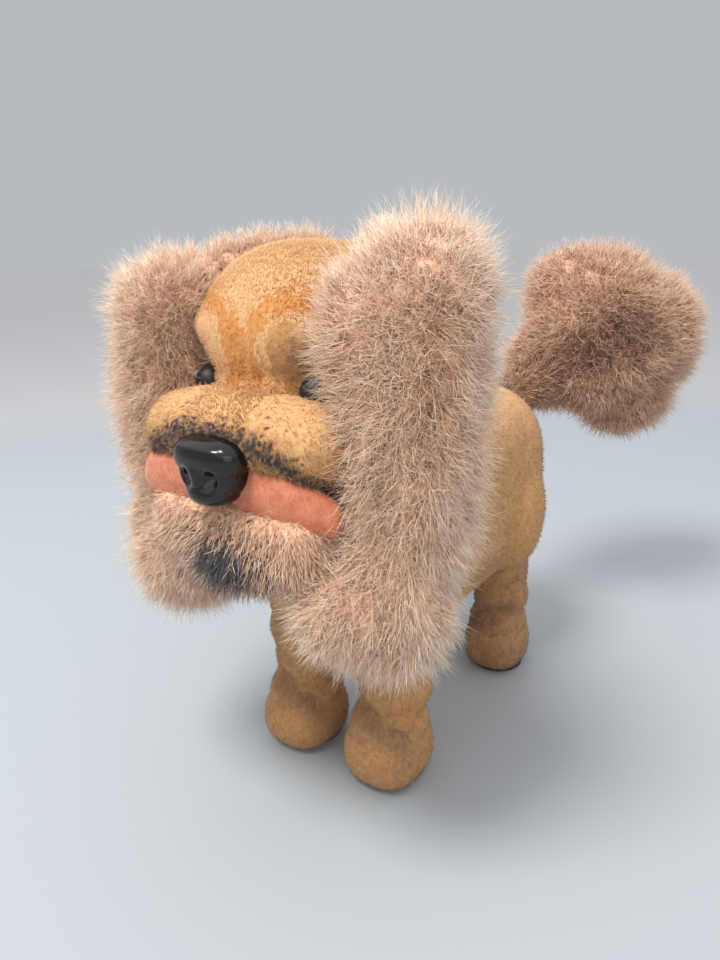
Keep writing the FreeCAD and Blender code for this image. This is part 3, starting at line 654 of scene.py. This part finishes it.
def body_comb(roots, up):
    """Short pile lies back along the trunk and down."""
    return np.broadcast_to(np.array((0.0, 0.75, -0.45)), roots.shape)


def body_shade(roots, up, rng):
    """Tan, with painted light on the pile that faces upwards, and a small dark mark on the left of the back.
    """
    # painted light: pile facing upwards is made lighter
    level = 0.56 + 0.035 * rng.normal(size=len(roots)) + 0.07 * np.clip(up[:, 2], -1, 1)
    spot = near(roots, (TRUNK_HIGH[0] - 5, -9, TRUNK_HIGH[2] - 4.5), (3, 3.5, 2.6))
    return np.clip(level - 0.4 * spot, 0, ARC_START - 0.03)


def trunk():
    """The trunk's pile, and the neck between trunk and head."""
    skin = body_skin()
    pile("body_pile", skin, "root", "tan_plush", DENSE, length=steady(1.7), thick=0.14, comb=body_comb,
         scatter=0.25, shade=body_shade, material=SHORT_PILE, seed=11, bend=0.15, steps=(0.0, 0.6),
         density=open_air)
    core = lump((0, SKULL[1] + 7, TRUNK_HIGH[2] - 8), (20.5, 18, 17))
    neck = moulded("neck_skin", [core], 1.2, 3, TAN_CLOTH, dents=[keep_clear(JAW_ROOM, JAW_ROOM_RADII)])
    down = pile("neck_pile", neck, None, "tan_plush", 2500, length=steady(1.7), thick=0.14,
                comb=body_comb, scatter=0.3, shade=body_shade, material=SHORT_PILE, seed=12,
                steps=(0.0, 0.6), density=open_air)
    for item in (neck, down):
        if item:
            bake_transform(item)


# ---------------------------------------------------------------- legs


def leg(name, number):
    """A stuffed leg with a round paw, a bunched ankle and creases, hung from the trunk."""
    sole = middle(f"{name}_sole")
    x, y = sole[0], sole[1]
    out = 1 if x > 0 else -1
    ahead = -2.5 if name.startswith("front") else -0.5
    slim = 0.95 if name.startswith("front") else 0.86
    lumps = [
        lump((x, y + ahead, 8.6), (11.7 * slim, 12.9 * slim, 9.6), power=2.7),
        lump((x, y + ahead * 0.7, 16.5), (11.2 * slim, 12.2 * slim, 8.5)),
        lump((x + 0.5 * out, y + 0.6, 26), (10.6 * slim, 11.3 * slim, 9.0)),
        lump((x, y, 36), (10.6 * slim, 11.4 * slim, 12), power=2.3),
        lump((x, y + 0.5, 47), (10.8 * slim, 12.2 * slim, 13)),
    ]
    tilt = 5.5 if name.startswith("front") else -5.0
    bend = (x, y - 12.0 * slim, 20.8)
    folds = [((x - 11, y - 8, 21.5 + tilt), bend), (bend, (x + 11, y - 8, 20.0 - tilt))]
    dents = [groove(*fold, 2.1, 3.8 * slim) for fold in folds] + [
        groove((x + 11 * out, y - 9, 15.5), (x + 10 * out, y + 10, 23.5), 1.6, 3.4 * slim),
        groove((x - 11, y + 9, 24), (x + 11, y + 10, 19), 2.2, 2.2 * slim),
        groove((x + 3 * out, y - 12, 30), (x + 12 * out, y - 2, 36), 2.0, 1.8),
        groove((x - 10 * out, y - 8, 31), (x - 10 * out, y + 8, 27), 2.4, 1.6),
        flat_below(1.7),
    ]
    skin = moulded(f"{name}_skin", lumps, 0.9, 4, TAN_CLOTH, dents=dents)
    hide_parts(f"{name}_plush")
    down = pile(f"{name}_pile", skin, None, "tan_plush", 6200, length=steady(1.4), thick=0.13,
                comb=towards(0, 0.1, -0.8), scatter=0.25, shade=leg_shade(folds), material=SHORT_PILE,
                seed=20 + number, bend=0.1, steps=(0.0, 0.6), density=leg_density)
    for item in (skin, down):
        if item:
            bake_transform(item)


def leg_density(place):
    """No pile under the paw or inside the trunk."""
    return np.where((place[:, 2] > 1.9) & (place[:, 2] < 52), 1.0, 0.0)


def leg_shade(folds):
    """Tan; browner on the hind legs, partly their own colour and partly painted shade; darker towards the
    floor; painted shade in the fold over the paw.
    """
    def shade(roots, up, rng):
        # painted shade: the hind legs are darker as well as browner
        level = np.where(roots[:, 1] > 0, 0.44, 0.50) + 0.035 * rng.normal(size=len(roots))
        level -= 0.05 * np.clip((12 - roots[:, 2]) / 12, 0, 1)
        # painted shade in the fold over the paw
        crease_shade = [np.exp(-(off_line(roots, *fold) / 3.8) ** 2) for fold in folds]
        return level - 0.15 * np.maximum(*crease_shade)

    return shade


# ---------------------------------------------------------------- head

BROW = (13.0, 120.5, 11.0)      # how far out and up each brow's orange arc is centred, and its radius
ARC_START = 0.80                # the place in the short palette where orange begins


def head():
    """The skull, with full cheeks, brows over sunken eyes and a soft crease between them."""
    lumps = [
        lump(SKULL, SKULL_RADII - (0.6, 0.6, 0.6)),
        lump(offset(SKULL, 0, -8, 9), (25, 21.5, 20)),
        lump(offset(SKULL, 0, -9, -4), (24, 20.5, 17)),
    ]
    for side, way in SIDES:
        lumps.append(lump(offset(SKULL, 17 * way, -9, -13), (12.2, 16, 14)))
        lumps.append(lump(((BROW[0] - 1.5) * way, SKULL[1] - 20.3, BROW[1] + 4.5), (8.5, 6.6, 6.4)))
    dents = [
        groove((0, -82, 140), (0, -85, 112), 3.0, 2.0),
        groove((-23, -76, 110.5), (23, -76, 110.5), 3.4, 1.5),
    ]
    for side, way in SIDES:
        dents.append(hollow(EYES[side] - (0, 1.5, 0), 5.2, 1.8, (0, 1, 0)))
    skin = moulded("head_skin", lumps, 0.95, 6, TAN_CLOTH, dents=dents)
    soft(skin, "head", "tan_plush", 0.8, "head_plush")
    for label, seed, density in (("face", 31, face_density), ("head", 33, head_density)):
        pile(f"{label}_pile", skin, "head", "tan_plush", DENSE, length=steady(1.7), thick=0.10,
             comb=head_comb, scatter=0.22, shade=head_shade, material=SHORT_PILE, seed=seed, bend=0.10,
             steps=(0.0, 0.6), density=density, lift=0.55)
    muzzle()
    lips()
    nose()


def off_eyes(place):
    """No pile over the eyes."""
    level = np.ones(len(place))
    for side, way in SIDES:
        beside = np.linalg.norm((place - EYES[side])[:, (0, 2)], axis=1)
        level = np.where((beside < 3.1) & (place[:, 1] < SKULL[1] - 10), 0.0, level)
    return level


def head_density(place):
    """Thin pile under the head, where the neck and the jaw hide it."""
    return off_eyes(place) * np.where(place[:, 2] > 88, 1.0, 0.3)


def face_density(place):
    """The face, between the ears and over the crown, where the pile shows most."""
    front = (place[:, 1] < SKULL[1] + 2) & (place[:, 2] > 104) & (np.abs(place[:, 0]) < 28)
    return off_eyes(place) * np.where(front, 1.0, 0.0)


def head_comb(roots, up):
    """Up and back from the bridge of the nose, and down over the cheeks."""
    rise = np.clip((roots[:, 2] - EYES["left"][2]) / 12, -1, 1)
    away = np.sign(roots[:, 0]) * np.clip(np.abs(roots[:, 0]) / 12, 0, 1) * 0.35
    return np.stack([away, 0.35 + 0 * rise, 0.75 * rise], axis=1)


def head_shade(roots, up, rng):
    """Light tan with a painted highlight towards the crown, and an orange arc airbrushed over each eye and
    down beside the nose.
    """
    count = len(roots)
    # painted highlight: the pile is lighter towards the crown
    level = 0.66 + 0.03 * rng.normal(size=count) + 0.03 * np.clip((roots[:, 2] - 122) / 18, -1, 1)
    front = roots[:, 1] < SKULL[1] - 8
    ruffle = near(roots, (13.5, SKULL[1] - 24, 121.0), (9.5, 10, 7.5))
    level -= 0.34 * ruffle * rng.uniform(0.4, 1.0, count)
    for side, way in SIDES:
        rim = near(roots, EYES[side], (4.4, 6, 4.4))
        level -= 0.30 * rim * rng.uniform(0.2, 1.0, count)
    level = np.clip(level, 0, ARC_START - 0.03)
    for side, way in SIDES:
        dx, dz = roots[:, 0] * way - BROW[0], roots[:, 2] - BROW[1]
        angle = np.degrees(np.arctan2(dz, dx))
        arc = ((angle > 10) | (angle < -135)) & front
        ring = np.exp(-((np.hypot(dx, dz) - BROW[2]) / 3.2) ** 2) * arc
        level = np.where(rng.random(count) < 1.15 * ring, rng.uniform(0.90, 1.0, count), level)
    return level


def muzzle():
    """A plump roll across the face, its ends drooping, over the felt lips."""
    lumps = []
    for side, way in SIDES:
        lumps += chain(
            [(0, MUZZLE[1] - 1.6, 104.2), (12 * way, MUZZLE[1] - 1.4, 104.2),
             ((MUZZLE_HALF - 6.6) * way, MUZZLE[1] - 0.2, 102.6)],
            [(9, 10.4, 8.8), (9, 10.4, 8.9), (8.6, 10.2, 9.0)])
    skin = moulded("muzzle_skin", lumps, 0.8, 5, TAN_CLOTH)
    soft(skin, "head", "tan_plush", 0.8, "muzzle_plush")
    pile("muzzle_pile", skin, "head", "tan_plush", DENSE, length=steady(1.9), thick=0.10, comb=muzzle_comb,
         scatter=0.34, shade=muzzle_shade, material=SHORT_PILE, seed=32, bend=0.2, steps=(0.0, 0.6),
         density=muzzle_density, lift=0.6)


def muzzle_density(place):
    """Thin pile where the roll meets the face."""
    return np.where(place[:, 1] > MUZZLE[1] + 9, 0.15, 1.0)


def muzzle_comb(roots, up):
    """Away from the nose and down at the sides."""
    side = np.sign(roots[:, 0]) * 0.45
    drop = np.where(np.abs(roots[:, 0]) > 9, -0.55, 0.15)
    return np.stack([side, 0.15 + 0 * side, drop], axis=1)


def muzzle_shade(roots, up, rng):
    """Tan, with a black stripe airbrushed from the nose along each side of the roll."""
    count = len(roots)
    level = 0.63 + 0.045 * rng.normal(size=count)
    across = np.abs(roots[:, 0])
    stripe = 105.4 - 0.0022 * across ** 2.6
    front = np.where(across > 6.0, 1.0, 0.0) * (roots[:, 1] < MUZZLE[1] + 3)
    dark = 0.80 * np.exp(-((roots[:, 2] - stripe) / 3.1) ** 2) * front
    dark = np.maximum(dark, 0.9 * near(roots, (0, -93, 105.5), (9.5, 6, 2.2)))
    painted = rng.random(count) < dark
    level = np.clip(level - 0.30 * dark, 0, ARC_START - 0.03)
    return np.where(painted, 0.02 + 0.22 * rng.random(count), level)


def lips():
    """A salmon felt band along each side of the mouth, under the muzzle's roll."""
    for side, way in SIDES:
        reach = 1.0 if way > 0 else 1.15
        path = [(3.5 * way, -89.4, 93.0), (10 * way * reach, -89.8, 93.6), (16.5 * way * reach, -89.6, 93.2),
                (22 * way * reach, -88.4, 91.8), (25.6 * way * reach, -86.2, 89.8)]
        sizes = [(3.6, 2.2, 4.6), (3.8, 2.2, 5.6), (3.8, 2.2, 5.8), (3.4, 2.2, 5.4), (2.6, 2.2, 4.4)]
        band = moulded(f"lip_felt_{side}", chain(path, sizes), 0.55, 5, SALMON_FELT)
        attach(band, "head")
        pile(f"lip_nap_{side}", band, "head", "tan_plush", 5200, length=steady(0.9), thick=0.085,
             comb=towards(0, 0, -0.3), scatter=0.7, shade=jitter(0.5, 0.2), material=FELT_NAP,
             seed=36 if way > 0 else 37, steps=(0.0, 0.6))


def nose():
    """A glossy rounded triangle with a rim along its top, two nostrils and a groove below them."""
    front = NOSE_LOW[1]
    middle_z = (NOSE_LOW[2] + NOSE_HIGH[2]) / 2
    wide = NOSE_HIGH[0]
    lumps = [
        lump((0, front + 7.0, middle_z + 2.8), (wide - 0.2, 6.6, 4.5), power=2.5),
        lump((0, front + 7.2, middle_z - 0.4), (wide - 1.6, 7.0, 6.2), power=2.2),
        lump((0, front + 6.6, middle_z - 4.2), (wide - 3.6, 6.4, 4.0)),
        lump((0, front + 3.6, middle_z + 4.3), (wide - 2.6, 2.9, 2.0), power=2.6),
    ]
    dents = [groove((-6, front - 1, middle_z + 1.8), (6, front - 1, middle_z + 1.8), 1.0, 0.5),
             groove((0, front - 2, middle_z + 0.5), (0, front - 2, middle_z - 8), 0.9, 0.9)]
    for side, way in SIDES:
        hole = (3.4 * way, front + 0.6, middle_z - 1.4)
        dents.append(hollow(hole, 1.7, 3.2, (0.15 * way, 1, 0.25)))
    button = moulded("nose_button", lumps, 0.34, 4, BLACK_GLOSS, dents=dents)
    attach(button, "head")
    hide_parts("nose")


def jaw():
    """The chin cushion, under longer mauve pile with a black tuft below the mouth."""
    lumps = [
        lump(offset(JAW, 0, 0.6, 0.8), (20.5, 11.2, 8.0), power=2.3),
        lump(offset(JAW, 0, -2.0, -1.2), (12.5, 9.8, 6.8)),
    ]
    for side, way in SIDES:
        lumps.append(lump(offset(JAW, 16.5 * way, 0.6, 2.6), (8.6, 9.6, 6.6)))
    lumps += chain([(-19, -86.5, 85.5), (19, -86.5, 85.5)], [(5.0, 6.8, 4.6)] * 2, steps=11)
    lumps += chain([(-14, -78, 86), (14, -78, 86)], [(5.0, 9.5, 4.4)] * 2, steps=9)
    skin = moulded("jaw_skin", lumps, 0.9, 4, MAUVE_CLOTH)
    soft(skin, "jaw", "long_pile", 0.7, "jaw_plush")
    pile("beard_pile", skin, "jaw", "long_pile", 8200, length=beard_length, thick=0.12, comb=beard_comb,
         scatter=0.5, shade=beard_shade, material=LONG_PILE, seed=41, bend=0.22, density=beard_density)


def beard_density(place):
    """Thin pile behind the chin and inside the mouth."""
    hidden = (place[:, 2] > 88.5) & (place[:, 1] > -88)
    return np.where(place[:, 1] > JAW[1] + 8, 0.1, 1.0) * np.where(hidden, 0.1, 1.0)


def beard_length(roots, up):
    """Longer towards the chin's lower edge."""
    return 3.6 + 2.4 * np.clip((86 - roots[:, 2]) / 10, 0, 1)


def beard_comb(roots, up):
    """Down, and outwards at the sides."""
    side = 0.25 * np.sign(roots[:, 0]) * np.clip(np.abs(roots[:, 0]) / 10, 0, 1)
    return np.stack([side, 0 * side, -0.75 + 0 * side], axis=1)


def beard_shade(roots, up, rng):
    """Mauve-beige, with a black tuft under the mouth."""
    level = 0.63 + 0.09 * rng.normal(size=len(roots))
    tuft = near(roots, (1.0, JAW[1] - 11, 77.5), (9.5, 8, 5.4))
    return np.where(rng.random(len(roots)) < 1.15 * tuft, 0.05 + 0.14 * rng.random(len(roots)), level)


# ---------------------------------------------------------------- ears and tail

def ear(side, way, number):
    """A thick hanging slab of long tousled pile, creased down its outer front edge."""
    core = middle(f"ear_{side}")
    x, y = core[0] * way, core[1]
    slump = 1 if side == "right" else 0
    lumps = [
        lump(((x - 4.8 - 1.8 * slump) * way, y - 0.8, 103 - 1.5 * slump), (13.2, 11.2, 32), power=2.8),
        lump(((x - 2.6 - 2.0 * slump) * way, y + 1.4, 117 - 3 * slump), (12.0, 11.0, 19), power=2.4),
        lump(((x - 2.0 - 2.0 * slump) * way, y + 2.0, 132 - 9 * slump), (11.4, 11.0, 12.2), power=2.4),
        lump(((x - 8.5) * way, y - 2.0, 125), (10.5, 10.4, 13.5), power=2.5),
        lump(((x - 8.4) * way, y - 3.6, 71), (13.8, 10.6, 17.0), power=2.4),
        lump(((x - 14.0) * way, y - 8.5, 68.5), (12.5, 10.5, 11.5)),
    ]
    dents = [groove(((x + 7) * way, y - 13, 137), ((x + 6.4) * way, y - 13, 104), 2.6, 4.4),
             groove(((x - 2) * way, y - 14, 97), ((x + 5) * way, y - 13, 80), 5.0, 1.8)]
    skin = moulded(f"ear_{side}_skin", lumps, 1.2, 6, MAUVE_CLOTH, dents=dents)
    soft(skin, f"ear_{side}", "long_pile", 0.6, f"ear_{side}")
    hub = np.array(((x - 4) * way, y, 98))

    def comb(roots, up):
        flow = 0.5 * (roots - hub) / (16, 14, 44)
        flow[:, 2] += np.where(roots[:, 2] > 128, 0.15, -0.30)
        outer = np.clip((up[:, 0] * way - 0.45) / 0.3, 0, 1) * np.clip((138 - roots[:, 2]) / 10, 0, 1)
        return flow + outer[:, None] * (0.0, 0.25, -0.75)

    def shade(roots, up, rng):
        level = 0.72 + 0.11 * rng.normal(size=len(roots))
        # painted shade in the crease down the outer front edge
        crease_shade = near(roots, ((x + 6.2) * way, y - 12, 122), (2.4, 7, 15))
        inner = near(roots, ((x - 15) * way, y - 8, 118), (4, 9, 26))
        edge = np.clip((np.abs(roots[:, 2] - 96) - 34) / 14, 0, 1)
        # painted light on the side that faces outwards
        outer_side_light = np.clip((up[:, 0] * way - 0.5) / 0.25, 0, 1)
        return level - 0.40 * crease_shade - 0.14 * inner + 0.05 * edge + 0.10 * outer_side_light * (1 - crease_shade)

    for layer, (label, length, thick, tangle, steps, lift) in enumerate((
            ("pile", 8.6, 0.085, 0.75, (0.0, 0.4, 0.75), 0.42),
            ("guard", 6.2, 0.085, 0.80, (0.0, 0.55), 0.85),
            ("down", 3.8, 0.16, 0.9, (0.0, 0.6), 0.75))):
        count = FULL if label == "pile" else DENSE
        pile(f"ear_{side}_{label}", skin, f"ear_{side}", "long_pile", count, length=steady(length),
             thick=thick, comb=comb, scatter=tangle, shade=shade, material=LONG_PILE,
             seed=50 + 3 * number + layer, bend=0.45, steps=steps, clump=3.5, lift=lift)
    fringe = [(30.5, -71, 134), (26, -61, 136.5), (18, -52, 139), (9.5, -45, 140)]
    path = [(across * way, back, high) for across, back, high in fringe]
    band = moulded(f"ear_{side}_seam", chain(path, [(5.2,) * 3, (4.8,) * 3, (4.2,) * 3, (3.2,) * 3]),
                   1.0, 3, MAUVE_CLOTH)
    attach(band, "head")
    pile(f"ear_{side}_fringe", band, "head", "long_pile", 4600, length=steady(6.4), thick=0.11,
         comb=towards(0.25 * way, 0.25, 0.35), scatter=0.6, shade=jitter(0.68, 0.12), material=LONG_PILE,
         seed=70 + number, bend=0.3, clump=3.0)


def tail():
    """A big loose pom on a sprung wire, its root in a dark brown sleeve of pile."""
    lumps = [
        lump(offset(POM, 1, 1, 4), (22.5, 25, 26.5)),
        lump(offset(POM, 15.5, 16, 2), (13.5, 18.5, 19)),
        lump(offset(POM, -7, -4, 17), (14, 14, 13.5)),
        lump(offset(POM, 8, 10, -17), (15, 16.5, 14)),
        lump(offset(POM, -13, -8, -6), (12.5, 13, 14)),
    ]
    dents = [hollow(offset(POM, 19, -24, 5), 12, 4.5, (-0.5, 0.8, 0)),
             groove(offset(POM, 28, -16, 14), offset(POM, 4, -28, -6), 5, 3.5),
             groove(offset(POM, 22, -14, -14), offset(POM, 10, -22, -6), 4, 3.0)]
    skin = moulded("tail_skin", lumps, 1.5, 5, MAUVE_CLOTH, dents=dents)
    soft(skin, "tail", "long_pile", 0.5, "tail_pom")
    centre = POM + (1, 0, 2)

    def comb(roots, up):
        return 0.4 * unit(roots - centre)

    def shade(roots, up, rng):
        level = 0.60 + 0.09 * rng.normal(size=len(roots))
        # painted shade in the hollow and the grooves on the front of the pom
        dark = np.maximum(near(roots, offset(POM, 20, -20, 6), (12, 13, 9)),
                          0.8 * near(roots, offset(POM, 8, -25, 0), (11, 10, 7)))
        base = near(roots, offset(POM, -14, -22, -10), (11, 10, 8))
        return np.clip(level - 0.42 * dark - 0.16 * base, 0.29, 1)

    pile("tail_pile", skin, "tail", "long_pile", FULL, length=steady(8.2), thick=0.13, comb=comb,
         scatter=0.65, shade=shade, material=LONG_PILE, seed=81, bend=0.35, clump=6.0)
    pile("tail_down", skin, "tail", "long_pile", DENSE, length=steady(5.4), thick=0.18, comb=comb,
         scatter=0.8, shade=shade, material=LONG_PILE, seed=82, bend=0.4, steps=(0.0, 0.6), clump=4.0)
    root = [(TAIL_ROOT[0] + 1, TRUNK_HIGH[1] + 2.5, 86), (6, 46, 91), (13, 54, 96)]
    sleeve = moulded("tail_sleeve", chain(root, [(5.0,) * 3, (6.0,) * 3, (8.5,) * 3]), 1.0, 3, MAUVE_CLOTH)
    soft(sleeve, "tail", "long_pile", 0.5)
    pile("tail_root_pile", sleeve, "tail", "long_pile", 3000, length=steady(6.0), thick=0.17,
         comb=towards(0.3, 0.5, 0.2), scatter=0.45, shade=jitter(0.42, 0.1), material=LONG_PILE, seed=83,
         bend=0.25)


# ---------------------------------------------------------------- CAD pieces, floor, light, camera

FLOOR_NEAR = (0.385, 0.415, 0.44)
FLOOR_FAR = (0.445, 0.445, 0.45)
WALL = (0.475, 0.495, 0.52)
CEILING = (1.08, 1.10, 1.13)
KEY_POWER = 7.8
CAMERA_PLACE = (0.1120, -0.1914, 0.1424)
CAMERA_AZIMUTH, CAMERA_ELEVATION, CAMERA_ROLL = 36.8, 18.2, -2.0
CAMERA_LENS = 27.04


def finish_hardware():
    """Each CAD node that shows takes the look of its material slot."""
    slots = {row["node"]: row["material_slot"] for row in frame["record"]["subparts"]}
    for node, item in frame["nodes"].items():
        look = EYE_BLACK if node.startswith("eye_") else HARD[slots[node]]
        item.data.materials.clear()
        item.data.materials.append(look)


def stage():
    """A plain pale floor that fades to the grey of the background."""
    material, nodes, links = new_material("floor_paper")
    shader = nodes["Principled BSDF"]
    shader.inputs["Roughness"].default_value = 0.6
    where = nodes.new("ShaderNodeTexCoord")
    far = nodes.new("ShaderNodeVectorMath")
    far.operation = "LENGTH"
    away = nodes.new("ShaderNodeMapRange")
    away.inputs["From Min"].default_value = 0.42
    away.inputs["From Max"].default_value = 0.56
    tone = ramp(nodes, [(0.0, FLOOR_NEAR), (1.0, FLOOR_FAR)])
    links.new(where.outputs["Object"], far.inputs[0])
    links.new(far.outputs["Value"], away.inputs["Value"])
    links.new(away.outputs["Result"], tone.inputs["Fac"])
    links.new(tone.outputs["Color"], shader.inputs["Base Color"])
    mesh = bpy.data.meshes.new("floor")
    edge = 6.0
    square = [(-edge, -edge, 0), (edge, -edge, 0), (edge, edge, 0), (-edge, edge, 0)]
    mesh.from_pydata(square, [], [(0, 1, 2, 3)])
    add_object("floor", mesh, material)


def light(name, place, size, power, colour):
    """A round soft lamp aimed at the middle of the toy."""
    lamp = bpy.data.lights.new(name, "AREA")
    lamp.shape = "DISK"
    lamp.size = size
    lamp.energy = power
    lamp.color = colour
    item = bpy.data.objects.new(name, lamp)
    bpy.context.scene.collection.objects.link(item)
    item.location = place
    aim = Vector((0, 0, 0.07)) - item.location
    item.rotation_euler = aim.to_track_quat("-Z", "Y").to_euler()


def lighting():
    """Soft light from above and the left, and a pale surround."""
    world = bpy.data.worlds.new("surround")
    bpy.context.scene.world = world
    world.use_nodes = True
    nodes, links = world.node_tree.nodes, world.node_tree.links
    where = nodes.new("ShaderNodeTexCoord")
    split = nodes.new("ShaderNodeSeparateXYZ")
    tone = ramp(nodes, [(0.30, WALL), (0.60, CEILING)])
    links.new(where.outputs["Generated"], split.inputs[0])
    links.new(split.outputs["Z"], tone.inputs["Fac"])
    links.new(tone.outputs["Color"], nodes["Background"].inputs["Color"])
    light("key", (-0.07, -0.43, 0.90), 0.34, KEY_POWER, (1.0, 0.985, 0.96))
    light("fill", (0.60, -0.60, 0.40), 0.7, KEY_POWER * 0.17, (1.0, 0.90, 0.82))


def camera():
    """The camera, in front of the toy's left side and above it."""
    lens = bpy.data.cameras.new("camera")
    lens.lens = CAMERA_LENS
    lens.sensor_width = 36.0
    lens.clip_start = 0.005
    item = bpy.data.objects.new("camera", lens)
    bpy.context.scene.collection.objects.link(item)
    turn = Matrix.Rotation(math.radians(CAMERA_AZIMUTH), 4, "Z")
    turn = turn @ Matrix.Rotation(math.radians(90 - CAMERA_ELEVATION), 4, "X")
    turn = turn @ Matrix.Rotation(math.radians(CAMERA_ROLL), 4, "Z")
    item.matrix_world = Matrix.Translation(CAMERA_PLACE) @ turn
    bpy.context.scene.camera = item


bpy.context.scene.view_settings.view_transform = "Standard"
camera()
lighting()
stage()
finish_hardware()
trunk()
for number, name in enumerate(LEGS):
    leg(name, number)
head()
jaw()
for number, (side, way) in enumerate(SIDES):
    ear(side, way, number)
tail()

bpy.context.view_layer.update()
